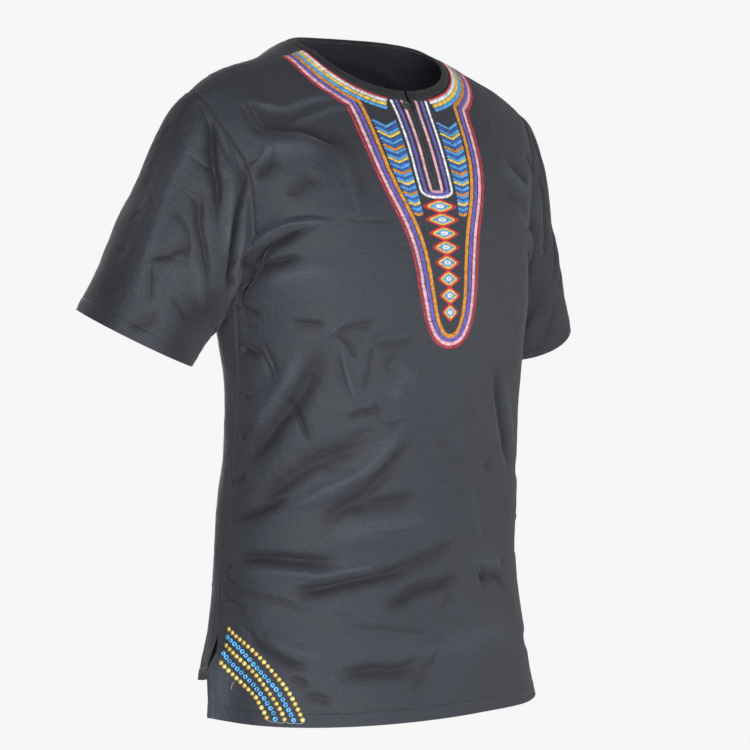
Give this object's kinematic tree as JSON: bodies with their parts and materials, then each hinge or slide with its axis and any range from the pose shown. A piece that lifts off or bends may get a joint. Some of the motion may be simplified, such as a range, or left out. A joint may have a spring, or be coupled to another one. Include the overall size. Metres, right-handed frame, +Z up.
{
  "type": "dashiki shirt",
  "caption": "Short-sleeved pullover dashiki shirt with a bound round neck, a buttoned front slit and side vents, filled out as if worn.",
  "frame": {"origin": "midway between the two points where the shoulder seams meet the neck edge, where the wearer's neck and shoulders hold the shirt up", "axes": "+Z up along the wearer's body, +X towards the wearer's left, so the front of the shirt faces -Y"},
  "size_m": [0.688, 0.2633, 0.7562],
  "materials": {
    "black_sateen": "soft sheen",
    "black_binding": "matt",
    "dark_button": "satin",
    "black_cord": "matt"
  },
  "bodies": {
    "root": {"front_panel": "black_sateen", "back_panel": "black_sateen", "sleeve_right": "black_sateen", "sleeve_left": "black_sateen", "neckband": "black_binding", "neck_button": "dark_button", "button_loop": "black_cord"}
  },
  "joints": []
}
